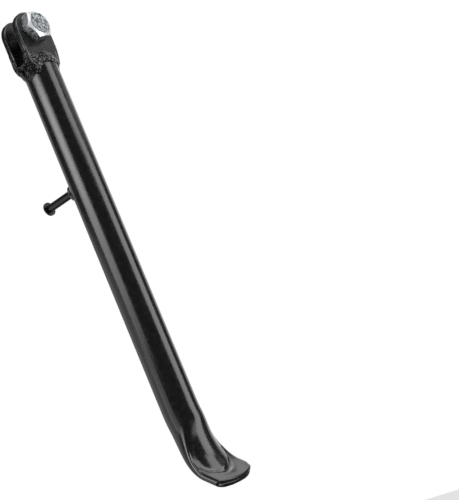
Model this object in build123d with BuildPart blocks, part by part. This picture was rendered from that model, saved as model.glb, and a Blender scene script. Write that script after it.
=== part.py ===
from build123d import *

import math
import os

# A bolt-on side stand for a small motorcycle: a tube leg with a pressed foot, a welded clevis of two
# ears, a post for the return spring, and the pivot bolt with its lock nut.
# Frame: the origin is the middle of the pivot bolt, between the ears. +Z runs up the leg, +X along the
# bolt to its head (away from the motorcycle), +Y to the rear. Sizes are in millimetres.

# --- Leg tube ---
TUBE_OD = 22.0
TUBE_WALL = 2.3
TUBE_TOP_Z = -24.0
BEND_START_Z = -250.5
BEND_RADIUS = 38.0
BEND_ANGLE = 53.0

# --- Foot, pressed from the end of the tube ---
FOOT_STRAIGHT = 14.0
FOOT_WIDTH = 35.4
FOOT_SEAM = 1.0
FOOT_FLARE_START = 5.0
FOOT_PRESS_START = 5.0
FOOT_PRESS_LENGTH = 32.0
FOOT_SQUARENESS = 3.0
FOOT_SOLE_FLAT = 0.35
FOOT_TIP_SAG = 3.8
FOOT_TIP_POWER = 2.5
FOOT_TIP_SHARES = (-1.15, -0.8, -0.4, 0.0, 0.4, 0.8, 1.15)
FOOT_STATIONS = 8
FOOT_OUTLINE_POINTS = 24

# --- Clevis ears ---
EAR_WIDTH = 27.8
EAR_THICKNESS = 3.8
LUG_SLOT = 7.7
EAR_TOP_Z = 11.8
EAR_SHOULDER_Z = -10.0
EAR_TOE_WIDTH = 22.8
EAR_EDGE_RADIUS = 0.9

# --- Pivot bolt and lock nut ---
BOLT_DIAMETER = 10.0
HEAD_ACROSS_FLATS = 17.0
HEAD_HEIGHT = 6.8
HEAD_CHAMFER_ANGLE = 32.0
HEAD_FACE_SHARE = 0.85
HEAD_TURN = 11.0
NUT_ACROSS_FLATS = 17.0
NUT_HEIGHT = 4.0
NUT_TURN = 0.0
BOLT_END_CHAMFER = 1.0
BOLT_PAST_NUT = 1.5
PIVOT_CLEARANCE = 0.08
SIDE_CLEARANCE = 0.15

# --- Welds between the ears and the tube ---
FACE_WELD_TOP_Z = -16.0
FACE_WELD_LAP = 2.0
FACE_WELD_PROUD = 0.6
EDGE_WELD_TOP_Z = -15.0
EDGE_WELD_PROUD = 1.0
EDGE_WELD_TOE_Z = -31.0
EDGE_WELD_TOE = 0.3
EDGE_WELD_DEPTH = 6.0
EDGE_WELD_LAP = 0.7
EDGE_WELD_ROUNDING = 1.6
SLOT_FLOOR_Z = -22.0

# --- Return-spring post ---
POST_Z = -101.8
POST_DIAMETER = 5.0
POST_REACH = 36.3
POST_HEAD_DIAMETER = 8.8
POST_HEAD_RIM = 0.9
POST_HEAD_DOME = 1.9
POST_WELD_DIAMETER = 14.4
POST_WELD_HEIGHT = 4.0
POST_WELD_NECK = 0.5

# --- Worked out from the sizes above ---
TUBE_RADIUS = TUBE_OD / 2
BORE_RADIUS = TUBE_RADIUS - TUBE_WALL
FOOT_THICKNESS = 2 * TUBE_WALL + FOOT_SEAM
BEND_LENGTH = BEND_RADIUS * math.radians(BEND_ANGLE)
FOOT_LENGTH = BEND_LENGTH + FOOT_STRAIGHT
EAR_INNER_X = LUG_SLOT / 2
EAR_OUTER_X = EAR_INNER_X + EAR_THICKNESS
EAR_RADIUS = EAR_WIDTH / 2
EAR_ARC_Z = EAR_TOP_Z - EAR_RADIUS
EAR_TOE_Y = EAR_TOE_WIDTH / 2
SHANK_RADIUS = BOLT_DIAMETER / 2
HEAD_SEAT_X = EAR_OUTER_X + SIDE_CLEARANCE
HEAD_END_X = HEAD_SEAT_X + HEAD_HEIGHT
NUT_SEAT_X = -EAR_OUTER_X - SIDE_CLEARANCE
NUT_END_X = NUT_SEAT_X - NUT_HEIGHT
BOLT_END_X = NUT_END_X - BOLT_PAST_NUT
POST_RADIUS = POST_DIAMETER / 2
POST_HEAD_RADIUS = POST_HEAD_DIAMETER / 2
POST_WELD_RADIUS = POST_WELD_DIAMETER / 2
POST_PLANE = Plane(origin=(0, 0, POST_Z), x_dir=(-1, 0, 0), z_dir=(0, 1, 0))


def ease(value, start, length):
    """Goes smoothly from 0 at start to 1 after length."""
    share = min(max((value - start) / length, 0.0), 1.0)
    return share * share * (3 - 2 * share)


def ease_reached(level):
    """The share of its length at which ease() reaches a level."""
    return 0.5 - math.sin(math.asin(1 - 2 * level) / 3)


def foot_half_sizes(along):
    """Half width, half thickness and squareness of the outside at a distance along the foot."""
    flare = ease(along, FOOT_FLARE_START, FOOT_PRESS_LENGTH)
    press = ease(along, FOOT_PRESS_START, FOOT_PRESS_LENGTH)
    half_width = TUBE_RADIUS + (FOOT_WIDTH / 2 - TUBE_RADIUS) * flare
    half_thickness = TUBE_RADIUS + (FOOT_THICKNESS / 2 - TUBE_RADIUS) * press
    squareness = 2 + (FOOT_SQUARENESS - 2) * press
    return half_width, half_thickness, squareness


def foot_plane(along):
    """Plane across the bent tube: its X is the rear (+Y), its Y is the upper side of the foot."""
    turn = min(along, BEND_LENGTH) / BEND_RADIUS
    past = max(along - BEND_LENGTH, 0.0)
    x = BEND_RADIUS * (1 - math.cos(turn)) + past * math.sin(turn)
    z = BEND_START_Z - BEND_RADIUS * math.sin(turn) - past * math.cos(turn)
    forward = (math.sin(turn), 0, -math.cos(turn))
    return Plane(origin=(x, 0, z), x_dir=(0, 1, 0), z_dir=forward)


def foot_outline(along, inset):
    """Points of a squared-off oval whose lower side stays on the tube's lower line."""
    half_width, half_thickness, squareness = foot_half_sizes(along)
    drop = half_thickness - TUBE_RADIUS
    power = 2 / squareness
    points = []
    for step in range(FOOT_OUTLINE_POINTS):
        angle = math.tau * step / FOOT_OUTLINE_POINTS
        across = math.copysign(abs(math.cos(angle)) ** power, math.cos(angle))
        up = math.copysign(abs(math.sin(angle)) ** power, math.sin(angle))
        points.append(((half_width - inset) * across, (half_thickness - inset) * up + drop))
    return points


def foot_section(along, inset):
    """The face across the foot at a distance along it: round where the foot starts."""
    with BuildSketch(foot_plane(along)) as section:
        if along == 0:
            Circle(TUBE_RADIUS - inset)
        else:
            with BuildLine():
                Spline(*foot_outline(along, inset), periodic=True)
            make_face()
    return section.sketch


def foot_sections(end, inset):
    """Faces evenly spaced from the start of the bend to a distance along the foot."""
    return [foot_section(end * step / FOOT_STATIONS, inset) for step in range(FOOT_STATIONS + 1)]


def hexagon(x, across_flats, turn):
    """A hexagon across the bolt at a place along it."""
    with BuildSketch(Plane.YZ.offset(x)) as outline:
        RegularPolygon(across_flats / 2, 6, major_radius=False, rotation=turn)
    return outline.sketch


def chamfer_drop(across_flats):
    """How far a hexagon's corners fall behind the round face of its chamfer."""
    corner_radius = across_flats / math.sqrt(3)
    face_radius = HEAD_FACE_SHARE * across_flats / 2
    return (corner_radius - face_radius) * math.tan(math.radians(HEAD_CHAMFER_ANGLE))


# --- Leg: a straight tube whose end is bent, pressed flat and trimmed ---
with BuildPart() as foot_cavity:
    close_level = (TUBE_RADIUS - TUBE_WALL - FOOT_SEAM) / (TUBE_RADIUS - FOOT_THICKNESS / 2)
    cavity_length = FOOT_PRESS_START + FOOT_PRESS_LENGTH * ease_reached(close_level)
    loft(foot_sections(cavity_length, TUBE_WALL))

with BuildPart() as leg_tube:
    loft(foot_sections(FOOT_LENGTH, 0.0))
    # What is trimmed off past the foot's bowed front edge, in plan: X runs along the foot.
    foot_end = foot_plane(FOOT_LENGTH)
    with BuildSketch(Plane(origin=foot_end.origin, x_dir=foot_end.z_dir, z_dir=foot_end.y_dir)):
        with BuildLine():
            front_edge = []
            for share in FOOT_TIP_SHARES:
                sag = FOOT_TIP_SAG * abs(share) ** FOOT_TIP_POWER
                front_edge.append((-sag, share * FOOT_WIDTH / 2))
            Spline(*front_edge)
            near_corner = (FOOT_STRAIGHT, front_edge[0][1])
            far_corner = (FOOT_STRAIGHT, front_edge[-1][1])
            Polyline(front_edge[-1], far_corner, near_corner, front_edge[0])
        make_face()
    extrude(amount=TUBE_OD, both=True, mode=Mode.SUBTRACT)
    # The sole is dressed flat where the stand meets the ground.
    sole_point = foot_end.origin - foot_end.y_dir * (TUBE_RADIUS - FOOT_SOLE_FLAT)
    with BuildSketch(Plane(origin=sole_point, x_dir=foot_end.z_dir, z_dir=-foot_end.y_dir)):
        Rectangle(2 * FOOT_LENGTH, 2 * FOOT_WIDTH)
    extrude(amount=TUBE_OD, mode=Mode.SUBTRACT)
    with BuildSketch(Plane.XY.offset(BEND_START_Z)):
        Circle(TUBE_RADIUS)
    extrude(amount=TUBE_TOP_Z - BEND_START_Z)
    add(foot_cavity.part, mode=Mode.SUBTRACT)
    with BuildSketch(Plane.XY.offset(BEND_START_Z)):
        Circle(BORE_RADIUS)
    extrude(amount=TUBE_TOP_Z - BEND_START_Z, mode=Mode.SUBTRACT)

# The tube's outline as a plain bar, to shape what is welded onto it.
with BuildPart() as tube_bar:
    with BuildSketch(Plane.XY.offset(BEND_START_Z)):
        Circle(TUBE_RADIUS)
    extrude(amount=TUBE_TOP_Z - BEND_START_Z)

# --- Clevis ears: round-topped plates standing on the tube's end, with the bolt through them ---
with BuildPart() as outer_ear:
    with BuildSketch(Plane.YZ.offset(EAR_INNER_X)):
        with BuildLine():
            ThreePointArc((-EAR_RADIUS, EAR_ARC_Z), (0, EAR_TOP_Z), (EAR_RADIUS, EAR_ARC_Z))
            rear_side = Line((EAR_RADIUS, EAR_ARC_Z), (EAR_RADIUS, EAR_SHOULDER_Z))
            TangentArc((EAR_RADIUS, EAR_SHOULDER_Z), (EAR_TOE_Y, TUBE_TOP_Z), tangent=rear_side % 1)
            Line((EAR_TOE_Y, TUBE_TOP_Z), (-EAR_TOE_Y, TUBE_TOP_Z))
            front_side = Line((-EAR_RADIUS, EAR_ARC_Z), (-EAR_RADIUS, EAR_SHOULDER_Z))
            TangentArc((-EAR_RADIUS, EAR_SHOULDER_Z), (-EAR_TOE_Y, TUBE_TOP_Z), tangent=front_side % 1)
        make_face()
    extrude(amount=EAR_THICKNESS)
    ear_faces = outer_ear.faces().filter_by(Axis.X)
    rim_edges = ear_faces.edges().filter_by(lambda edge: edge.center().Z > TUBE_TOP_Z + EAR_EDGE_RADIUS)
    fillet(rim_edges, EAR_EDGE_RADIUS)
    with BuildSketch(Plane.YZ.offset(EAR_INNER_X)):
        Circle(SHANK_RADIUS + PIVOT_CLEARANCE)
    extrude(amount=EAR_THICKNESS, mode=Mode.SUBTRACT)

with BuildPart() as inner_ear:
    mirror(outer_ear.part, about=Plane.YZ)

# --- Welds: a bead on each ear's face, and one down the ears' front and rear edges ---
with BuildPart() as outer_ear_weld:
    with BuildSketch(Plane.XZ):
        with BuildLine():
            bead_toe = (TUBE_RADIUS, TUBE_TOP_Z - FACE_WELD_LAP)
            bead_crest = (TUBE_RADIUS + FACE_WELD_PROUD, TUBE_TOP_Z)
            Polyline((0, FACE_WELD_TOP_Z), (0, TUBE_TOP_Z), (TUBE_RADIUS, TUBE_TOP_Z), bead_toe)
            Spline(bead_toe, bead_crest, (EAR_OUTER_X, FACE_WELD_TOP_Z))
            Line((EAR_OUTER_X, FACE_WELD_TOP_Z), (0, FACE_WELD_TOP_Z))
        make_face()
    revolve(axis=Axis.Z)
    split(bisect_by=Plane.YZ.offset(EAR_OUTER_X), keep=Keep.TOP)

with BuildPart() as inner_ear_weld:
    mirror(outer_ear_weld.part, about=Plane.YZ)

with BuildPart() as front_weld:
    with BuildSketch(Plane.YZ):
        with BuildLine():
            crest_y = -EAR_RADIUS - EDGE_WELD_PROUD
            toe_y = -TUBE_RADIUS - EDGE_WELD_TOE
            back_y = -EAR_RADIUS + EDGE_WELD_DEPTH
            Spline(
                (-EAR_RADIUS, EDGE_WELD_TOP_Z),
                (crest_y, (EDGE_WELD_TOP_Z + SLOT_FLOOR_Z) / 2),
                (crest_y, SLOT_FLOOR_Z),
                (toe_y, EDGE_WELD_TOE_Z),
            )
            Polyline((toe_y, EDGE_WELD_TOE_Z), (back_y, EDGE_WELD_TOE_Z), (back_y, EDGE_WELD_TOP_Z))
            Line((back_y, EDGE_WELD_TOP_Z), (-EAR_RADIUS, EDGE_WELD_TOP_Z))
        make_face()
    extrude(amount=EAR_OUTER_X + EDGE_WELD_LAP, both=True)
    side_faces = front_weld.faces().filter_by(Axis.X)
    outer_edges = side_faces.edges().filter_by(lambda edge: edge.center().Y < back_y - EDGE_WELD_LAP)
    fillet(outer_edges, EDGE_WELD_ROUNDING)
    with BuildSketch(Plane.XY.offset(SLOT_FLOOR_Z)):
        Rectangle(LUG_SLOT, 2 * TUBE_OD)
    extrude(amount=TUBE_OD, mode=Mode.SUBTRACT)
    add(tube_bar.part, mode=Mode.SUBTRACT)
    add(outer_ear.part, mode=Mode.SUBTRACT)
    add(inner_ear.part, mode=Mode.SUBTRACT)
    add(outer_ear_weld.part, mode=Mode.SUBTRACT)
    add(inner_ear_weld.part, mode=Mode.SUBTRACT)

with BuildPart() as rear_weld:
    mirror(front_weld.part, about=Plane.XZ)

# --- Return-spring post: a headed pin butted on the tube, with a fillet weld round its foot ---
with BuildPart() as spring_post:
    with BuildSketch(POST_PLANE):
        with BuildLine():
            head_edge = (POST_REACH + POST_HEAD_RIM, POST_HEAD_RADIUS)
            head_apex = (POST_REACH + POST_HEAD_RIM + POST_HEAD_DOME, 0)
            Polyline((0, 0), (0, POST_RADIUS), (POST_REACH, POST_RADIUS))
            Polyline((POST_REACH, POST_RADIUS), (POST_REACH, POST_HEAD_RADIUS), head_edge)
            TangentArc(head_apex, head_edge, tangent=(0, 1))
            Line(head_apex, (0, 0))
        make_face()
    revolve(axis=Axis(POST_PLANE.origin, POST_PLANE.x_dir))
    add(tube_bar.part, mode=Mode.SUBTRACT)

with BuildPart() as post_weld:
    with BuildSketch(POST_PLANE):
        with BuildLine():
            neck = (TUBE_RADIUS + POST_WELD_HEIGHT, POST_RADIUS + POST_WELD_NECK)
            toe = (TUBE_RADIUS, POST_WELD_RADIUS)
            Polyline(neck, (neck[0], 0), (0, 0), (0, POST_WELD_RADIUS), toe)
            RadiusArc(neck, toe, POST_WELD_RADIUS)
        make_face()
    revolve(axis=Axis(POST_PLANE.origin, POST_PLANE.x_dir))
    add(tube_bar.part, mode=Mode.SUBTRACT)
    add(spring_post.part, mode=Mode.SUBTRACT)

# --- Pivot bolt and lock nut: hexagons with chamfered corners, on one shank ---
with BuildPart() as pivot_bolt:
    extrude(hexagon(HEAD_SEAT_X, HEAD_ACROSS_FLATS, HEAD_TURN), amount=HEAD_HEIGHT)
    with BuildSketch(Plane.XY):
        with BuildLine():
            corner_radius = HEAD_ACROSS_FLATS / math.sqrt(3)
            corner_x = HEAD_END_X - chamfer_drop(HEAD_ACROSS_FLATS)
            face_radius = HEAD_FACE_SHARE * HEAD_ACROSS_FLATS / 2
            Polyline(
                (HEAD_SEAT_X, 0),
                (HEAD_SEAT_X, corner_radius),
                (corner_x, corner_radius),
                (HEAD_END_X, face_radius),
                (HEAD_END_X, 0),
                close=True,
            )
        make_face()
    revolve(axis=Axis.X, mode=Mode.INTERSECT)
    with BuildSketch(Plane.YZ.offset(BOLT_END_X)):
        Circle(SHANK_RADIUS)
    extrude(amount=HEAD_SEAT_X - BOLT_END_X)
    chamfer(pivot_bolt.edges().sort_by(Axis.X)[0], BOLT_END_CHAMFER)

with BuildPart() as lock_nut:
    extrude(hexagon(NUT_END_X, NUT_ACROSS_FLATS, NUT_TURN), amount=NUT_HEIGHT)
    with BuildSketch(Plane.XY):
        with BuildLine():
            corner_radius = NUT_ACROSS_FLATS / math.sqrt(3)
            corner_drop = chamfer_drop(NUT_ACROSS_FLATS)
            face_radius = HEAD_FACE_SHARE * NUT_ACROSS_FLATS / 2
            Polyline(
                (NUT_SEAT_X, 0),
                (NUT_SEAT_X, face_radius),
                (NUT_SEAT_X - corner_drop, corner_radius),
                (NUT_END_X + corner_drop, corner_radius),
                (NUT_END_X, face_radius),
                (NUT_END_X, 0),
                close=True,
            )
        make_face()
    revolve(axis=Axis.X, mode=Mode.INTERSECT)
    with BuildSketch(Plane.YZ.offset(NUT_END_X)):
        Circle(SHANK_RADIUS)
    extrude(amount=NUT_HEIGHT, mode=Mode.SUBTRACT)

# --- One file for each piece ---
PIECES = {
    "leg_tube": leg_tube,
    "outer_ear": outer_ear,
    "inner_ear": inner_ear,
    "outer_ear_weld": outer_ear_weld,
    "inner_ear_weld": inner_ear_weld,
    "front_weld": front_weld,
    "rear_weld": rear_weld,
    "spring_post": spring_post,
    "post_weld": post_weld,
    "pivot_bolt": pivot_bolt,
    "lock_nut": lock_nut,
}
os.makedirs("parts", exist_ok=True)
for name, piece in PIECES.items():
    piece.part.label = name
    export_step(piece.part, f"parts/{name}.step")
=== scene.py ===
import bmesh
import bpy
import numpy as np
from mathutils import Matrix, Vector


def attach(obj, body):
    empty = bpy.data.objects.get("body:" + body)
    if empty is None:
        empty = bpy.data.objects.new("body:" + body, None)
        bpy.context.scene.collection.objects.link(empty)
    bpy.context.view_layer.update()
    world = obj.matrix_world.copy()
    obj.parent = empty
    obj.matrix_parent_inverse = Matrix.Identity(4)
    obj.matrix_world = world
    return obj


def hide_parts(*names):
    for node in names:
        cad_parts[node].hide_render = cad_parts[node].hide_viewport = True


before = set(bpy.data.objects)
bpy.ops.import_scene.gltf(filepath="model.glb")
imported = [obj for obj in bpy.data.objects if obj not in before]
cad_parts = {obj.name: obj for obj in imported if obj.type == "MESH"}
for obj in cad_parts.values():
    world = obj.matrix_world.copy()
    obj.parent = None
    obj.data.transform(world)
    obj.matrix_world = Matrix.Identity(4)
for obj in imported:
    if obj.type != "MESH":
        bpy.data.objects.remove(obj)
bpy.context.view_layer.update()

# Side stand: black-painted tube leg, welded clevis, spring post and zinc pivot bolt.
# Shapes are worked out in millimetres and turned to metres when their mesh is made.
MM = 0.001

# --- Sizes of the real parts, the same as the frame's ---
TUBE_RADIUS = 11.0
BORE_RADIUS = 8.7
TUBE_TOP_Z = -24.0
BORE_END_Z = -240.0
BEND_START_Z = -250.5
BEND_RADIUS = 38.0
BEND_ANGLE = np.radians(53.0)
BEND_LENGTH = BEND_RADIUS * BEND_ANGLE
FOOT_STRAIGHT = 14.0
FOOT_LENGTH = BEND_LENGTH + FOOT_STRAIGHT
FOOT_HALF_WIDTH = 17.7
FOOT_HALF_THICKNESS = 2.8
EAR_OUTER_X = 7.65
EAR_HALF_WIDTH = 13.9
POST_Z = -101.8

# --- The foot's form, in millimetres along the bend and across it ---
FOOT_SQUARENESS = 3.0
PRESS_START = 5.0
PRESS_LENGTH = 32.0
BEND_EASE = 9.0
BEND_END_EASE = 6.0
SOLE_FLAT = 0.35
ROLLED_EDGE_HEIGHT = 0.28
TIP_BOW_LENGTH = 18.0
TIP_SAG = 3.8
TIP_POWER = 2.5
CORNER_LENGTH = 7.5
CORNER_SHARE = 0.12

# --- The round side that runs on over the foot to the press mark ---
MARK_REACH = 38.9
MARK_CURVE = 0.046
MARK_SHIFT = 2.5
DOME_SPREAD = 6.5
DOME_LEAN = 0.8
DOME_FLOOR = 4.0
SINK_START = 2.5
SINK_EASE = 13.0
SINK_SLOPE = 0.52
VALLEY_DEPTH = 0.9
VALLEY_ROUNDING = 1.2
RIDGE_HEIGHT = 0.4
GROOVE_DEPTH = 0.95
DISH_DEPTH = 0.8
DISH_HALF_WIDTH = 15.0
SIDE_FADE = 0.7

# --- How finely the leg is divided ---
RING_POINTS = 192
STRAIGHT_RINGS = 110
FOOT_RINGS = 150
PATH_STATIONS = 1200


# ---------------------------------------------------------------- shapes
def ease(value, start, length):
    """Goes smoothly from 0 at start to 1 after length: 3t^2 - 2t^3."""
    share = np.clip((value - start) / length, 0.0, 1.0)
    return share * share * (3.0 - 2.0 * share)


def hill(value, centre, width):
    """A bell curve of height 1 round a centre: e to the minus (distance / width) squared."""
    return np.exp(-(((value - centre) / width) ** 2))


def wave(value, height, rate, start=0.0):
    """A sine wave: height times the sine of rate times value plus start."""
    return height * np.sin(rate * value + start)


def tube_height(across, least):
    """The tube's round over a place beside its middle line: the root of radius^2 - across^2, which is kept
    from falling under least."""
    return np.sqrt(np.clip(TUBE_RADIUS**2 - across**2, least, None))


def lumps(x, y, z, size, seed):
    """Smooth unevenness between about -1 and 1: five sine waves of nearby sizes, in fixed directions."""
    waves = 5
    evening = 3.0
    smallest, largest = 0.7, 1.5
    draw = np.random.default_rng(seed)
    total = np.zeros(np.broadcast(x, y, z).shape)
    for _ in range(waves):
        direction = draw.normal(size=3)
        direction /= np.linalg.norm(direction)
        rate = 2.0 * np.pi / (size * draw.uniform(smallest, largest))
        start = draw.uniform(0.0, 2.0 * np.pi)
        total += wave(direction[0] * x + direction[1] * y + direction[2] * z, 1.0, rate, start)
    return total / evening


def ripple(phase):
    """Weld ripple, 0 to 1: the sine of pi times (share of a wave)^1.6, so each wave rises slowly and drops
    off quickly, as a cooled puddle's edge does."""
    lean = 1.6
    share = phase - np.floor(phase)
    return np.sin(np.pi * share**lean)


def make_piece(name, points, faces):
    """A mesh in metres from points in millimetres, its double points merged and its faces turned outwards."""
    same_point, same_edge = 2e-6, 1e-6
    mesh = bpy.data.meshes.new(name)
    mesh.from_pydata((points * MM).tolist(), [], faces.tolist())
    work = bmesh.new()
    work.from_mesh(mesh)
    bmesh.ops.remove_doubles(work, verts=work.verts, dist=same_point)
    bmesh.ops.dissolve_degenerate(work, edges=work.edges, dist=same_edge)
    bmesh.ops.recalc_face_normals(work, faces=work.faces)
    work.to_mesh(mesh)
    work.free()
    mesh.shade_smooth()
    piece = bpy.data.objects.new(name, mesh)
    bpy.context.scene.collection.objects.link(piece)
    return piece


def grid_faces(rows, columns, start=0, wrap=False):
    """Four-sided faces of a grid of points counted row by row; wrap joins the last column to the first."""
    across = np.arange(columns if wrap else columns - 1)
    beside = (across + 1) % columns
    down = np.arange(rows - 1)[:, None] * columns + start
    quads = np.stack([down + across, down + beside, down + columns + beside, down + columns + across], -1)
    return quads.reshape(-1, 4)


def grid_points(x, y, z):
    """Three coordinates spread over one grid, as its points."""
    return np.stack(np.broadcast_arrays(x, y, z), -1)


def slab_arrays(outer, inner):
    """Points and faces of a shell: an outer grid, an inner one behind it, and strips that join their rims."""
    rows, columns = outer.shape[:2]
    count = rows * columns
    index = np.arange(count).reshape(rows, columns)
    rim = np.concatenate([index[0, :-1], index[:-1, -1], index[-1, :0:-1], index[:0:-1, 0]])
    after = np.roll(rim, -1)
    strips = np.stack([rim, rim + count, after + count, after], -1)
    front = grid_faces(rows, columns)
    back = grid_faces(rows, columns, start=count)[:, ::-1]
    points = np.concatenate([outer.reshape(-1, 3), inner.reshape(-1, 3)])
    return points, np.concatenate([front, back, strips])


def ring_arrays(rings):
    """Points and faces of closed rings along a path, from one pole to the other; each row is a ring."""
    rows, columns = rings.shape[:2]
    return rings.reshape(-1, 3), grid_faces(rows, columns, wrap=True)


def join_arrays(parts):
    """Puts several sets of points and faces into one."""
    points, faces, start = [], [], 0
    for part_points, part_faces in parts:
        points.append(part_points)
        faces.append(part_faces + start)
        start += len(part_points)
    return np.concatenate(points), np.concatenate(faces)


def bend_path():
    """The foot's centre line: its turn grows as the bend's curvature eases in, holds and eases out, and its
    place is the running sum of its direction."""
    along = np.linspace(-BEND_EASE, FOOT_LENGTH + BEND_EASE, PATH_STATIONS)
    step = along[1] - along[0]
    into = ease(along, start=-BEND_EASE, length=2.0 * BEND_EASE)
    out_of = 1.0 - ease(along, start=BEND_LENGTH - BEND_END_EASE, length=2.0 * BEND_END_EASE)
    turn = np.cumsum(into * out_of) * step / BEND_RADIUS
    turn *= BEND_ANGLE / turn[-1]
    x = np.cumsum(np.sin(turn)) * step
    z = BEND_START_Z + BEND_EASE - np.cumsum(np.cos(turn)) * step
    return along, turn, x, z


def foot_place(along, across, up):
    """Carries a point of the foot's cross-section along the centre line: straight, bent, then straight."""
    stations, turns, path_x, path_z = bend_path()
    turn = np.interp(along, stations, turns)
    before = np.clip(along + BEND_EASE, None, 0.0)
    x = np.interp(along, stations, path_x) + up * np.cos(turn)
    z = np.interp(along, stations, path_z) - before + up * np.sin(turn)
    return grid_points(x, across, z)


def dome_height(along, across, press):
    """The round side's height over the foot: an arc of a circle that widens as the foot is pressed.

    Its top line sinks along the foot, first as the square of the distance and then at a steady slope.
    """
    round_radius = TUBE_RADIUS + DOME_SPREAD * press
    sinking = np.clip(along - SINK_START, 0.0, None)
    sunk = np.where(sinking < SINK_EASE, sinking**2 / (2.0 * SINK_EASE), sinking - 0.5 * SINK_EASE)
    top_line = TUBE_RADIUS - SINK_SLOPE * sunk
    beside = across - DOME_LEAN * press
    return top_line - round_radius + np.sqrt(np.clip(round_radius**2 - beside**2, DOME_FLOOR, None))


def leg_arrays():
    """The tube leg and its pressed foot as rings round the centre line.

    Each ring is a squared-off oval |cos|^(2/n), |sin|^(2/n), with n from 2 on the tube to the foot's
    squareness. Its half width grows from the tube's radius to the foot's, its half thickness shrinks to two
    pressed walls, and its lower side stays on the tube's lower line. Near the end each ring bows back at its
    sides. The tube's round upper side runs on over the foot and stops at a U-shaped press mark, where it
    steps down to the flat.
    """
    above_rim, before_bend = 0.5, 1.5
    round_power = 2.0
    turns = np.linspace(0.0, 2.0 * np.pi, RING_POINTS + 1)[:-1]
    cosine, sine = np.cos(turns), np.sin(turns)
    straight = np.linspace(TUBE_TOP_Z + above_rim - BEND_START_Z, before_bend, STRAIGHT_RINGS)
    foot = np.linspace(0.0, FOOT_LENGTH, FOOT_RINGS)
    along = np.concatenate([-straight, foot])[:, None]
    press = ease(along, PRESS_START, PRESS_LENGTH)
    half_width = TUBE_RADIUS + (FOOT_HALF_WIDTH - TUBE_RADIUS) * press
    half_thickness = TUBE_RADIUS + (FOOT_HALF_THICKNESS - TUBE_RADIUS) * press
    power = 2.0 / (round_power + (FOOT_SQUARENESS - round_power) * press)
    drop = half_thickness - TUBE_RADIUS
    round_across = np.sign(cosine) * np.abs(cosine) ** power
    round_up = np.sign(sine) * np.abs(sine) ** power
    across = half_width * round_across
    up = half_thickness * round_up + drop

    # The dome meets the pressed surface in a rounded valley at its sides and steps down at the mark.
    before_mark = MARK_REACH - MARK_CURVE * (across + MARK_SHIFT) ** 2 - along
    dome = dome_height(along, across, press)
    valley = up - VALLEY_DEPTH
    dome = 0.5 * (dome + valley + np.sqrt((dome - valley) ** 2 + VALLEY_ROUNDING))
    share = np.abs(across) / half_width
    inside = 1.0 - ease(share, start=0.85, length=0.14)
    reached = ease(before_mark, start=-1.2, length=1.3) * ease(along, start=-4.0, length=12.0)
    up = up + (dome - up) * reached * inside * (round_up > 0.0)

    # A ridge before the mark, a groove along its foot, and a shallow dish in the flat beyond it.
    upper_side = np.clip(round_up, 0.0, 1.0) ** SIDE_FADE
    ridge = hill(before_mark, centre=-4.8, width=1.3) * hill(across, centre=1.0, width=8.0)
    groove = hill(before_mark, centre=-1.5, width=0.75)
    groove = groove * (1.0 - ease(np.abs(across), start=9.0, length=6.0))
    dish = 1.0 - ease(before_mark, start=-3.0, length=3.0)
    dish = dish * np.clip(1.0 - (across / DISH_HALF_WIDTH) ** 2, 0.0, 1.0)
    up = up + upper_side * (RIDGE_HEIGHT * ridge - GROOVE_DEPTH * groove - DISH_DEPTH * dish)

    # The rolled edge along both sides of the foot stands a little proud of the flat.
    up = up + ROLLED_EDGE_HEIGHT * hill(share, centre=0.93, width=0.10) * press * upper_side
    up = np.maximum(up, -TUBE_RADIUS + SOLE_FLAT * press)

    # Trimmed end: the rings of the last stretch bow back towards the sides.
    bow = ease(along, start=FOOT_LENGTH - TIP_BOW_LENGTH, length=TIP_BOW_LENGTH)
    placed = along - bow * TIP_SAG * np.abs(across / FOOT_HALF_WIDTH) ** TIP_POWER

    # The far corner is ground round.
    corner = 1.0 - ease(FOOT_LENGTH - along, start=0.0, length=CORNER_LENGTH)
    across = across * (1.0 - CORNER_SHARE * corner**2 * (across > 0.0))
    skin = foot_place(placed, across, up)

    # The cut end: a small round, then a face that closes on the line where the two walls meet. Each ring is
    # set in from the outline and reaches past the last ring of the skin.
    cut_roughness = 0.07
    inset = np.array([0.12, 0.35, 0.7, 1.1, 1.7, 2.2, 2.45, 2.62, 2.74, 2.8])[:, None]
    reach = np.array([0.33, 0.55, 0.68, 0.74, 0.76, 0.77, 0.76, 0.70, 0.55, 0.42])[:, None]
    end_across = across[-1] * (1.0 - inset / FOOT_HALF_WIDTH)
    middle = drop[-1]
    end_up = middle + (up[-1] - middle) * (1.0 - inset / FOOT_HALF_THICKNESS)
    uneven = cut_roughness * lumps(end_across, end_up, 0.0, size=4.0, seed=5)
    end = foot_place(placed[-1] + reach + uneven, end_across, end_up)

    # The bore, closed at its bottom by a pole, and the top rim: radius and height of each ring.
    pole_radius, bore_middle_z, rim_edge = 1e-4, -60.0, 0.3
    rim_inset, rim_drop = 0.08, 0.12
    rim_rings = np.array(
        [
            (pole_radius, BORE_END_Z),
            (BORE_RADIUS, BORE_END_Z),
            (BORE_RADIUS, bore_middle_z),
            (BORE_RADIUS, TUBE_TOP_Z - rim_edge),
            (BORE_RADIUS + rim_edge, TUBE_TOP_Z),
            (TUBE_RADIUS - rim_edge, TUBE_TOP_Z),
            (TUBE_RADIUS - rim_inset, TUBE_TOP_Z - rim_drop),
        ]
    )
    rim_radius, rim_z = rim_rings[:, :1], rim_rings[:, 1:]
    rim = grid_points(rim_radius * sine, rim_radius * cosine, rim_z)
    return ring_arrays(np.concatenate([rim, skin, end]))


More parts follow.
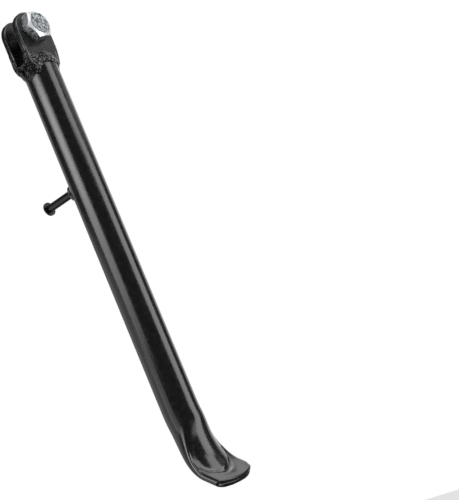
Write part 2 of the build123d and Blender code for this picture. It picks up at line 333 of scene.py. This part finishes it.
def face_bead_arrays(side):
    """The bead under an ear: a ring round the tube's end, kept where it stands proud of the ear's face.

    Radius against height is a leaning bulge, a sine raised to a power, that dies out at the toe on the tube.
    Ripples fan out from the middle, and one run of metal hangs down the tube as a tongue.
    """
    columns, rows, half_sweep = 200, 84, 66.0
    top_z, top_tilt, toe_z = -15.6, 1.3, -26.0
    top_radius, full_radius, toe_sink = 7.3, 12.0, 0.15
    bulge_reach, bulge_power = 1.04, 0.8
    tongue_length, tongue_at, tongue_width, tongue_power = 3.4, 47.0, 6.6, 2.6
    fan_spread, fan_lean = 0.35, 2.6
    ripple_length, ripple_height = 2.1, 0.62
    lump_size, lump_height = 2.6, 0.2
    face_sink, back_x, back_share, back_top_z, back_low_z = 0.3, 6.4, 0.8, -16.9, -26.0

    front = np.linspace(-half_sweep, half_sweep, columns)[:, None]
    angle = np.radians(front)
    level = np.linspace(0.0, 1.0, rows)[None, :]
    toe = toe_z - wave(front, height=0.4, rate=0.13, start=0.6) - wave(front, height=0.35, rate=0.31)
    toe = toe - tongue_length * np.exp(-np.abs((front + tongue_at) / tongue_width) ** tongue_power)
    top = top_z + top_tilt * np.sin(angle)
    z = top + (toe - top) * level

    rise = np.sin(np.clip(level * bulge_reach, 0.0, 1.0) * np.pi * 0.5) ** bulge_power
    fall = 1.0 - ease(level, start=0.80, length=0.20)
    radius = top_radius + (full_radius - top_radius) * rise
    radius = radius * fall + (TUBE_RADIUS - toe_sink) * (1.0 - fall)
    fan = full_radius * angle * (1.0 + fan_spread * (level - 0.5)) - fan_lean * level
    waves = ripple(fan / ripple_length + wave(level, height=0.12, rate=7.0)) - 0.5
    uneven = lumps(fan, z, 0.0, size=lump_size, seed=11)
    body = ease(level, start=0.08, length=0.2) * fall
    radius = radius + body * (ripple_height * waves + lump_height * uneven)

    # Where the bead would fall inside the ear's plate, it is held just under the ear's face.
    x = radius * np.cos(angle)
    y = radius * np.sin(angle)
    within_ear = (x < EAR_OUTER_X) & (z > TUBE_TOP_Z)
    outer = grid_points(np.where(within_ear, EAR_OUTER_X - face_sink, x), y, z)
    inner = grid_points(back_x, back_share * y, np.clip(z, back_low_z, back_top_z))
    points, faces = slab_arrays(outer, inner)
    points[:, 0] *= side
    return points, faces


def edge_bead_arrays(turn, proud_share, taper):
    """The weld down both ears' edges: depth against height and width, as a raised map.

    Depth goes from the ears' edges down to the tube's round. Each rib has ripples across it, the slot
    between the ears stays open above its floor, and a puddle with a crater sits beside it. The weld narrows
    downwards by the taper.
    """
    rib_columns, slot_columns, rows = 44, 70, 140
    slot_edge, slot_half_width, rib_start, ear_edge = 3.98, 3.99, 4.0, 7.95
    top_z, slot_floor_z, slot_floor_dip, toe_z, toe_wave = -15.6, -22.0, 0.7, -31.2, 0.5
    under_edge, over_tube, narrow_from, narrow_length = 0.1, 0.15, 10.0, 21.0
    rib_x, rib_half_width, rib_power, rib_height = 5.6, 2.3, 3.0, 0.5
    ripple_length, ripple_height, ripple_bow = 1.5, 0.7, 0.06
    slot_ripple_length, slot_ripple_height, slot_ripple_bow = 1.4, 0.6, 0.08
    puddle_x, puddle_z, puddle_flatness, puddle_size, puddle_height = 2.7, -25.4, 0.9, 3.9, 1.15
    crater_inset, crater_size, crater_power, drip_height = 0.2, 1.6, 4, 0.5
    lump_size, lump_height = 2.4, 0.26
    corner_x, corner_width, corner_depth, corner_limit, top_depth = 6.3, 1.65, 1.5, 0.999, 0.5
    back_share, back_slot_x, back_depth, back_top_z, back_low_z = 0.86, 4.2, 7.9, -16.0, -30.0

    inner_rib_x = np.linspace(-ear_edge, -rib_start, rib_columns)
    slot_x = np.linspace(-slot_edge, slot_edge, slot_columns)
    outer_rib_x = np.linspace(rib_start, ear_edge, rib_columns)
    x = np.concatenate([inner_rib_x, slot_x, outer_rib_x])[:, None]
    level = np.linspace(0.0, 1.0, rows)[None, :]
    in_slot = np.abs(x) < slot_half_width
    top = np.where(in_slot, slot_floor_z + slot_floor_dip * (x / rib_start) ** 2, top_z)
    z = top + (toe_z - toe_wave * np.cos(x * 0.5) - top) * level

    tube = tube_height(x, least=20.0)
    full = EAR_HALF_WIDTH - under_edge - taper * np.clip((-narrow_from - z) / narrow_length, 0.0, 1.0)
    depth = tube + over_tube + (full - tube) * ease(z, start=-30.6, length=9.4)
    body = 1.0 - ease(z, start=-18.6, length=2.6)
    body = body * (1.0 - ease(-z, start=29.4, length=1.9))

    rib = np.exp(-np.abs((np.abs(x) - rib_x) / rib_half_width) ** rib_power)
    waves = ripple(z / ripple_length + ripple_bow * (x - rib_x * np.sign(x)) ** 2) - 0.5
    proud = rib * (rib_height + ripple_height * waves) * ease(z, start=-27.5, length=4.0)
    away = np.sqrt((x - puddle_x) ** 2 + ((z - puddle_z) * puddle_flatness) ** 2)
    crater = np.exp(-(((away - crater_inset) / crater_size) ** crater_power))
    puddle = np.exp(-((away / puddle_size) ** crater_power)) - crater
    drip = drip_height * hill(x, centre=3.0, width=1.2) * hill(z, centre=-28.0, width=0.9)
    uneven = lump_height * lumps(x, 0.0, z, size=lump_size, seed=21)
    slot_waves = ripple(z / slot_ripple_length + slot_ripple_bow * x**2) - 0.5
    across_slot = slot_ripple_height * in_slot * slot_waves * ease(-z, start=21.5, length=1.0)
    raised = body * (proud + puddle_height * puddle + drip + uneven) + across_slot
    side = np.clip((np.abs(x) - corner_x) / corner_width, 0.0, 1.0)
    rounded = corner_depth * (1.0 - np.sqrt(1.0 - side**2 * corner_limit))
    depth = depth + proud_share * raised - rounded - top_depth * ease(z, start=-17.0, length=1.4)

    outer = grid_points(x, -depth, z)
    under_ear_x = np.sign(x) * np.clip(back_share * np.abs(x), back_slot_x, None)
    back_x = np.where(in_slot, back_share * x, under_ear_x)
    inner = grid_points(back_x, -back_depth, np.clip(z, back_low_z, back_top_z))
    points, faces = slab_arrays(outer, inner)
    points[:, :2] *= turn
    return points, faces


def flank_arrays(side):
    """Weld metal washed over the lower front corner of an ear's face, as a thin raised map.

    Its upper rim is a curve that falls from the ear's edge to the bead; below it the height rises at once
    to about half a millimetre, ripples towards the bead, and then follows the tube's round.
    """
    columns, rows = 120, 110
    front_y, rear_y, floor_z, floor_slope, floor_middle_y = -13.75, -2.0, -27.0, 0.12, -8.0
    height, sink, fan_y, fan_z = 0.45, 0.12, -13.0, -13.0
    ripple_length, ripple_height = 1.7, 0.45
    lump_size, lump_height = 2.2, 0.16
    edge_y, edge_width, edge_depth, edge_limit = 12.6, 1.3, 0.9, 0.98
    back_x, back_draw, back_share, back_low_z = 6.2, 2.0, 0.96, -26.0
    rim_y = np.array([-14.0, -13.2, -12.2, -11.3, -9.1, -7.5, -4.0, -2.0])
    rim_z = np.array([-11.2, -11.4, -12.2, -14.4, -16.3, -17.6, -18.8, -20.6])

    y = np.linspace(front_y, rear_y, columns)[:, None]
    level = np.linspace(0.0, 1.0, rows)[None, :]
    rim = np.interp(y, rim_y, rim_z)
    z = rim + (floor_z + floor_slope * (y - floor_middle_y) - rim) * level
    rise = ease(rim - z, start=0.0, length=0.7)
    fan = np.hypot(y - fan_y, z - fan_z)
    waves = ripple_height * (ripple(fan / ripple_length) - 0.5)
    uneven = lump_height * lumps(y, z, 0.0, size=lump_size, seed=41)
    low = 1.0 - ease(z, start=-20.5, length=4.5)
    tube = tube_height(y, least=4.0)
    onto_tube = 1.0 - ease(z, start=-26.6, length=5.0)
    base = EAR_OUTER_X + (tube - EAR_OUTER_X) * onto_tube * ease(-y, start=3.0, length=9.0)
    edge = np.clip((-y - edge_y) / edge_width, 0.0, 1.0)
    corner = edge_depth * (1.0 - np.sqrt(1.0 - edge_limit * edge**2))
    x = base - sink + rise * (height + low * (waves + uneven)) - corner

    outer = grid_points(x, y, z)
    inner = grid_points(back_x - back_draw * onto_tube, back_share * y, np.clip(z, back_low_z, None))
    points, faces = slab_arrays(outer, inner)
    points[:, 0] *= side
    return points, faces


def post_bead_arrays():
    """The weld round the post's foot: rings round the post's axis from a toe on the tube to a thin neck.

    The toe is an uneven five-cornered ring, a circle with cosines of two, five and nine waves. Between toe
    and neck the ring shrinks along a hollow curve, with fins of metal drawn up the post. A small ball of
    spatter sits below it, a sphere whose radius swells three times round.
    """
    columns, rows, quarter = 120, 46, 0.5 * np.pi
    toe_radius, neck_radius, toe_sink = 5.3, 2.35, 0.25
    hollow_power, hollow_fullness = 2.2, 0.8
    toe_height, neck_height, toe_power, neck_power = 0.9, 3.9, 0.7, 0.95
    toe_steepness, body_reach = 9.0, 1.15
    fin_height, fin_power, lump_size, lump_height = 0.34, 1.5, 2.8, 0.45
    buried_x, buried_share, neck_x = -9.6, 0.5, -15.0
    turn = np.linspace(0.0, 2.0 * np.pi, columns + 1)[:-1][None, :]
    level = np.linspace(0.0, 1.0, rows)[:, None]
    toe = toe_radius - wave(turn, height=0.9, rate=1.0)
    toe = toe + wave(turn, height=0.45, rate=5.0, start=0.5 + quarter)
    toe = toe + wave(turn, height=0.35, rate=2.0, start=2.2 + quarter)
    toe = toe + wave(turn, height=0.2, rate=9.0, start=quarter)
    hollow = (1.0 - level**hollow_power) ** hollow_fullness
    fins = wave(turn, height=fin_height, rate=7.0, start=1.0 + quarter) * np.sin(np.pi * level) ** fin_power
    radius = neck_radius + (toe - neck_radius) * hollow + fins
    y = radius * np.cos(turn)
    z = radius * np.sin(turn)
    base = tube_height(y, least=30.0) - toe_sink
    body = np.sin(np.pi * np.clip(level * body_reach, 0.0, 1.0))
    toe_rise = toe_height * np.clip(level * toe_steepness, 0.0, 1.0) ** toe_power
    height = toe_rise + neck_height * level**neck_power
    height = height + body * lump_height * lumps(y, z, 0.0, size=lump_size, seed=31)
    rings = grid_points(-(base + height), y, z + POST_Z)
    foot = grid_points(buried_x, buried_share * y[:1], buried_share * z[:1] + POST_Z)
    pole = grid_points(buried_x, 0.0, POST_Z + 0.0 * turn)
    top = grid_points(neck_x, 0.0, POST_Z + 0.0 * turn)
    collar = ring_arrays(np.concatenate([pole, foot, rings, top]))

    ball_x, ball_y, ball_z = -10.9, -2.4, POST_Z - 7.9
    ball_columns, ball_rows, ball_size = 24, 14, 0.92
    around = np.linspace(0.0, 2.0 * np.pi, ball_columns + 1)[:-1][None, :]
    polar = np.linspace(0.0, np.pi, ball_rows)[:, None]
    ball_radius = ball_size + wave(around, height=0.06, rate=3.0, start=quarter) * np.sin(polar)
    ball = grid_points(
        ball_x + ball_radius * np.cos(polar),
        ball_y + ball_radius * np.sin(polar) * np.cos(around),
        ball_z + ball_radius * np.sin(polar) * np.sin(around),
    )
    return join_arrays([collar, ring_arrays(ball)])


OUTER, INNER = 1.0, -1.0
FRONT, REAR = 1.0, -1.0
leg = make_piece("leg_and_foot", *leg_arrays())
outer_bead = make_piece("outer_ear_bead", *face_bead_arrays(OUTER))
inner_bead = make_piece("inner_ear_bead", *face_bead_arrays(INNER))
front_parts = [
    edge_bead_arrays(FRONT, proud_share=1.0, taper=0.0),
    flank_arrays(OUTER),
    flank_arrays(INNER),
]
front_bead = make_piece("front_edge_bead", *join_arrays(front_parts))
rear_bead = make_piece("rear_edge_bead", *edge_bead_arrays(REAR, proud_share=0.2, taper=3.4))
post_bead = make_piece("post_bead", *post_bead_arrays())

# Each piece that takes a CAD node's place, and the finish slot that it has.
STANDS_FOR = {
    "leg_tube": (leg, "black_paint"),
    "outer_ear_weld": (outer_bead, "black_weld"),
    "inner_ear_weld": (inner_bead, "black_weld"),
    "front_weld": (front_bead, "black_weld"),
    "rear_weld": (rear_bead, "black_weld"),
    "post_weld": (post_bead, "black_weld"),
}
for node, (piece, slot) in STANDS_FOR.items():
    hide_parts(node)
    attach(piece, "leg")


# ---------------------------------------------------------------- materials
# A Mix node's own inputs and outputs share names, so they are called by their places.
MIX_SHARE, MIX_FIRST, MIX_SECOND, MIX_RESULT = 0, 2, 3, 0
COLOUR_FIRST, COLOUR_SECOND, COLOUR_RESULT = 6, 7, 2


def linear(code):
    """A hex colour as the renderer's own values: each channel's sRGB curve undone."""
    channels = np.array([int(code[place : place + 2], 16) for place in (1, 3, 5)]) / 255.0
    light = np.where(channels <= 0.04045, channels / 12.92, ((channels + 0.055) / 1.055) ** 2.4)
    return (*light.tolist(), 1.0)


def add_node(material, kind, links=None, **settings):
    """Adds one node: sets its properties and named inputs, and links inputs to other nodes' outputs."""
    node = material.node_tree.nodes.new(kind)
    for key, value in settings.items():
        if hasattr(node, key):
            setattr(node, key, value)
        else:
            node.inputs[key.replace("_", " ")].default_value = value
    for key, output in (links or {}).items():
        material.node_tree.links.new(output, node.inputs[key])
    return node


def set_ramp(ramp, low, low_colour, high, high_colour):
    """Gives a colour ramp its two stops: where each one is and its hex colour."""
    first, second = ramp.color_ramp.elements
    first.position, first.color = low, linear(low_colour)
    second.position, second.color = high, linear(high_colour)


def new_material(name):
    """An empty node material, with its output node and the place on the surface in metres."""
    material = bpy.data.materials.new(name)
    material.use_nodes = True
    material.node_tree.nodes.clear()
    output = add_node(material, "ShaderNodeOutputMaterial")
    where = add_node(material, "ShaderNodeTexCoord").outputs["Object"]
    return material, output, where


def paint_material(name, peel_mm, peel_depth, roughness):
    """Gloss black powder coat on steel: a near-black coat whose fine orange peel breaks up the edges of
    the highlights, with slow waves under it and a dusting of lighter specks. Real peel is about 0.3 mm; it
    is drawn at peel_mm so that it shows."""
    sag_mm, sag_depth, sag_strength = 9.0, 0.08, 0.25
    dust_mm, glossier, duller = 2.6, 0.03, 0.05
    material, output, where = new_material(name)
    peel = add_node(material, "ShaderNodeTexNoise", {"Vector": where}, Scale=1.0 / (peel_mm * MM), Detail=2.0)
    sag = add_node(material, "ShaderNodeTexNoise", {"Vector": where}, Scale=1.0 / (sag_mm * MM), Detail=1.0)
    dust = add_node(material, "ShaderNodeTexNoise", {"Vector": where}, Scale=1.0 / (dust_mm * MM), Detail=3.0)
    slow = add_node(
        material,
        "ShaderNodeBump",
        {"Height": sag.outputs["Fac"]},
        Strength=sag_strength,
        Distance=sag_depth * MM,
    )
    fine = add_node(
        material,
        "ShaderNodeBump",
        {"Height": peel.outputs["Fac"], "Normal": slow.outputs["Normal"]},
        Strength=1.0,
        Distance=peel_depth * MM,
    )
    tone = add_node(material, "ShaderNodeValToRGB", {"Fac": dust.outputs["Fac"]})
    set_ramp(tone, low=0.35, low_colour="#0a0a0b", high=0.75, high_colour="#121213")
    gloss = add_node(
        material,
        "ShaderNodeMapRange",
        {"Value": dust.outputs["Fac"]},
        From_Min=0.3,
        From_Max=0.7,
        To_Min=roughness - glossier,
        To_Max=roughness + duller,
    )
    coat = add_node(
        material,
        "ShaderNodeBsdfPrincipled",
        {
            "Base Color": tone.outputs["Color"],
            "Roughness": gloss.outputs["Result"],
            "Normal": fine.outputs["Normal"],
        },
        IOR=1.5,
    )
    material.node_tree.links.new(coat.outputs["BSDF"], output.inputs["Surface"])
    return material


def zinc_material():
    """Bright zinc plate on a forged and turned bolt: mottled grey, each crystal lighter or darker. The side
    faces are painted lighter than the forged end face, as painted light, and the turned chamfer is painted
    near-white as a painted highlight ring round the head. Real crystals are well under 0.1 mm; they are
    drawn at 0.9 mm so that they show."""
    crystal_mm, cloud_mm, facet_depth = 0.9, 1.3, 0.08
    end_face_x, face_circle_radius = 14.5, 7.24
    cone_slope, cone_start = 0.625, 19.0
    material, output, where = new_material("bright_zinc_plate")
    cloud = add_node(
        material, "ShaderNodeTexNoise", {"Vector": where}, Scale=1.0 / (cloud_mm * MM), Detail=3.0
    )
    crystals = add_node(
        material, "ShaderNodeTexVoronoi", {"Vector": where}, Scale=1.0 / (crystal_mm * MM), Randomness=1.0
    )
    shades = add_node(material, "ShaderNodeSeparateColor", {"Color": crystals.outputs["Color"]})
    mottle = add_node(
        material, "ShaderNodeMix", {MIX_FIRST: shades.outputs["Red"], MIX_SECOND: cloud.outputs["Fac"]}
    )
    mottle.inputs[MIX_SHARE].default_value = 0.5
    mottled = mottle.outputs[MIX_RESULT]
    forged = add_node(material, "ShaderNodeValToRGB", {"Fac": mottled})
    set_ramp(forged, low=0.28, low_colour="#34383b", high=0.72, high_colour="#a9adb0")
    # Side faces: a lighter ramp than the end face, painted light for how they catch the lamps.
    painted_lighter_flats = add_node(material, "ShaderNodeValToRGB", {"Fac": mottled})
    set_ramp(painted_lighter_flats, low=0.25, low_colour="#575b5e", high=0.70, high_colour="#c6cacc")

    # The chamfer is the cone beyond the face's circle: far enough from the axis and near enough to the end.
    place = add_node(material, "ShaderNodeSeparateXYZ", {"Vector": where})
    sideways = add_node(material, "ShaderNodeVectorMath", {0: where}, operation="MULTIPLY")
    sideways.inputs[1].default_value = (0.0, 1.0, 1.0)
    radius = add_node(material, "ShaderNodeVectorMath", {0: sideways.outputs["Vector"]}, operation="LENGTH")
    beyond = add_node(material, "ShaderNodeMath", {0: radius.outputs["Value"]}, operation="GREATER_THAN")
    beyond.inputs[1].default_value = face_circle_radius * MM
    cone = add_node(
        material,
        "ShaderNodeMath",
        {0: radius.outputs["Value"], 2: place.outputs["X"]},
        operation="MULTIPLY_ADD",
    )
    cone.inputs[1].default_value = cone_slope
    near_end = add_node(material, "ShaderNodeMath", {0: cone.outputs[0]}, operation="GREATER_THAN")
    near_end.inputs[1].default_value = cone_start * MM
    chamfer = add_node(
        material, "ShaderNodeMath", {0: beyond.outputs[0], 1: near_end.outputs[0]}, operation="MULTIPLY"
    )
    end_face = add_node(material, "ShaderNodeMath", {0: place.outputs["X"]}, operation="GREATER_THAN")
    end_face.inputs[1].default_value = end_face_x * MM

    plain = add_node(
        material,
        "ShaderNodeMix",
        {
            MIX_SHARE: end_face.outputs[0],
            COLOUR_FIRST: painted_lighter_flats.outputs["Color"],
            COLOUR_SECOND: forged.outputs["Color"],
        },
        data_type="RGBA",
    )
    # The chamfer gets a near-white colour: a painted highlight ring round the head.
    colour = add_node(
        material,
        "ShaderNodeMix",
        {MIX_SHARE: chamfer.outputs[0], COLOUR_FIRST: plain.outputs[COLOUR_RESULT]},
        data_type="RGBA",
    )
    colour.inputs[COLOUR_SECOND].default_value = linear("#d2d5d7")
    crystal_gloss = add_node(
        material, "ShaderNodeMapRange", {"Value": shades.outputs["Green"]}, To_Min=0.26, To_Max=0.42
    )
    gloss = add_node(
        material,
        "ShaderNodeMix",
        {MIX_SHARE: end_face.outputs[0], MIX_SECOND: crystal_gloss.outputs["Result"]},
    )
    gloss.inputs[MIX_FIRST].default_value = 0.5
    facet = add_node(
        material, "ShaderNodeBump", {"Height": mottled}, Strength=0.35, Distance=facet_depth * MM
    )
    plate = add_node(
        material,
        "ShaderNodeBsdfPrincipled",
        {
            "Base Color": colour.outputs[COLOUR_RESULT],
            "Roughness": gloss.outputs[MIX_RESULT],
            "Normal": facet.outputs["Normal"],
        },
        Metallic=1.0,
    )
    material.node_tree.links.new(plate.outputs["BSDF"], output.inputs["Surface"])
    return material


tube_paint = paint_material("gloss_black_powder_coat", peel_mm=0.75, peel_depth=0.035, roughness=0.17)
plate_paint = paint_material("black_powder_coat_on_plate", peel_mm=0.9, peel_depth=0.05, roughness=0.19)
weld_paint = paint_material("black_powder_coat_on_weld", peel_mm=0.9, peel_depth=0.045, roughness=0.13)
zinc = zinc_material()

FINISH = {
    leg: tube_paint,
    outer_bead: weld_paint,
    inner_bead: weld_paint,
    front_bead: weld_paint,
    rear_bead: weld_paint,
    post_bead: weld_paint,
    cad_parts["outer_ear"]: plate_paint,
    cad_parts["inner_ear"]: plate_paint,
    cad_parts["spring_post"]: tube_paint,
    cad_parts["pivot_bolt"]: zinc,
    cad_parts["lock_nut"]: zinc,
}
for node in STANDS_FOR:
    FINISH[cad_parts[node]] = tube_paint
for thing, material in FINISH.items():
    thing.data.materials.clear()
    thing.data.materials.append(material)


# ---------------------------------------------------------------- stage, light and camera
FLOOR_Z = -1400.0
FLOOR_HALF_SIDE = 6000.0
FLOOR_POINTS = 41
FLOOR_GLOW = 0.72
FILL_STRENGTH = 0.10
LIGHT_AIM = Vector((0.0, 0.0, -0.13))


def bearing(azimuth, elevation):
    """The direction towards a bearing: azimuth 0 is from the front (-Y), 90 from the bolt's head (+X)."""
    turn, lift = np.radians(azimuth), np.radians(elevation)
    return Vector((np.sin(turn) * np.cos(lift), -np.cos(turn) * np.cos(lift), np.sin(lift)))


def make_floor():
    """A level square sheet: a grid of points at one height."""
    side = np.linspace(-FLOOR_HALF_SIDE, FLOOR_HALF_SIDE, FLOOR_POINTS)
    points = grid_points(side[None, :], side[:, None], FLOOR_Z).reshape(-1, 3)
    return make_piece("studio_floor", points, grid_faces(FLOOR_POINTS, FLOOR_POINTS))


floor = make_floor()
pale, floor_output, _ = new_material("pale_studio_floor")
matte = add_node(
    pale,
    "ShaderNodeBsdfPrincipled",
    Roughness=0.9,
    Base_Color=linear("#a4a4a4"),
    Emission_Color=linear("#ffffff"),
    Emission_Strength=FLOOR_GLOW,
)
pale.node_tree.links.new(matte.outputs["BSDF"], floor_output.inputs["Surface"])
floor.data.materials.append(pale)
floor.visible_glossy = False


def soft_box(name, azimuth, elevation, width_angle, height_angle, radiance, distance=1.0):
    """A softbox that faces the stand: its size from the angles that it fills as the stand sees it, and its
    power from how bright its face should look."""
    light = bpy.data.lights.new(name, "AREA")
    light.shape = "RECTANGLE"
    light.size = 2.0 * distance * np.tan(np.radians(width_angle / 2.0))
    light.size_y = 2.0 * distance * np.tan(np.radians(height_angle / 2.0))
    light.energy = radiance * np.pi * light.size * light.size_y
    box = bpy.data.objects.new(name, light)
    bpy.context.scene.collection.objects.link(box)
    away = bearing(azimuth, elevation)
    box.matrix_world = Matrix.LocRotScale(
        LIGHT_AIM + distance * away, away.to_track_quat("Z", "Y"), Vector((1.0, 1.0, 1.0))
    )
    box.visible_camera = False


# Each softbox: azimuth and elevation, width and height, all in degrees, and radiance; some give a distance
# in metres. The left strip is feathered: it fades and narrows towards its lower end, a band at a time.
SOFT_BOXES = {
    "left_strip_0": (-6.0, 25.5, 48.0, 19.0, 3.8, 0.465),
    "left_strip_1": (-5.0, 25.5, 26.0, 19.0, 3.6, 0.465),
    "left_strip_2": (-6.0, 12.7, 46.0, 6.6, 4.4, 0.43),
    "left_strip_3": (-7.0, 6.0, 42.0, 7.0, 3.3, 0.422),
    "left_strip_4": (-10.0, -1.1, 40.0, 7.3, 2.2, 0.42),
    "left_strip_5": (-24.0, -15.1, 34.0, 20.7, 1.25, 0.435),
    "left_wash": (-66.0, -15.0, 70.0, 54.0, 0.7),
    "left_edge_panel": (-92.0, 23.0, 26.0, 22.0, 0.6),
    "high_panel": (40.0, 64.0, 80.0, 22.0, 1.5),
    "right_strip_high": (107.0, 38.0, 32.0, 36.0, 3.9),
    "right_strip_low": (118.0, -5.0, 34.0, 50.0, 4.2),
    "low_glint": (80.0, -23.0, 40.0, 12.0, 2.4),
    "side_panel": (150.0, 32.0, 24.0, 24.0, 0.6),
    "back_panel": (208.0, 8.0, 76.0, 50.0, 1.1),
    "back_top_panel": (178.0, 47.0, 56.0, 30.0, 1.7),
}
for name, setting in SOFT_BOXES.items():
    soft_box(name, *setting)

# The surround is white behind the stand and gives only a weak fill to its surfaces.
world = bpy.data.worlds.new("studio")
bpy.context.scene.world = world
world.use_nodes = True
world.node_tree.nodes.clear()
sky = add_node(world, "ShaderNodeOutputWorld")
rays = add_node(world, "ShaderNodeLightPath")
backdrop = add_node(world, "ShaderNodeBackground", Color=linear("#ffffff"), Strength=1.0)
fill = add_node(world, "ShaderNodeBackground", Color=linear("#ffffff"), Strength=FILL_STRENGTH)
surround = add_node(
    world,
    "ShaderNodeMixShader",
    {0: rays.outputs["Is Camera Ray"], 1: fill.outputs[0], 2: backdrop.outputs[0]},
)
world.node_tree.links.new(surround.outputs[0], sky.inputs["Surface"])

bpy.context.scene.view_settings.view_transform = "Standard"

# The camera looks slightly up at the stand from low down and is rolled, so the leg lies across the frame.
CAMERA_AIM = Vector((0.076589, 0.0, -0.180233))
CAMERA_DISTANCE = 0.538479
CAMERA_AZIMUTH = 34.974
CAMERA_ELEVATION = -8.585
CAMERA_ROLL = np.radians(-23.401)
CAMERA_LENS = 71.03
SENSOR_WIDTH = 36.0
NEAREST_SEEN = 0.01

backwards = bearing(CAMERA_AZIMUTH, CAMERA_ELEVATION)
level_right = Vector((np.cos(np.radians(CAMERA_AZIMUTH)), np.sin(np.radians(CAMERA_AZIMUTH)), 0.0))
level_up = backwards.cross(level_right)
right = np.cos(CAMERA_ROLL) * level_right + np.sin(CAMERA_ROLL) * level_up
upwards = -np.sin(CAMERA_ROLL) * level_right + np.cos(CAMERA_ROLL) * level_up
camera_data = bpy.data.cameras.new("camera")
camera_data.lens = CAMERA_LENS
camera_data.sensor_width = SENSOR_WIDTH
camera_data.clip_start = NEAREST_SEEN
camera = bpy.data.objects.new("camera", camera_data)
bpy.context.scene.collection.objects.link(camera)
facing = Matrix((right, upwards, backwards)).transposed().to_4x4()
camera.matrix_world = Matrix.Translation(CAMERA_AIM + CAMERA_DISTANCE * backwards) @ facing
bpy.context.scene.camera = camera
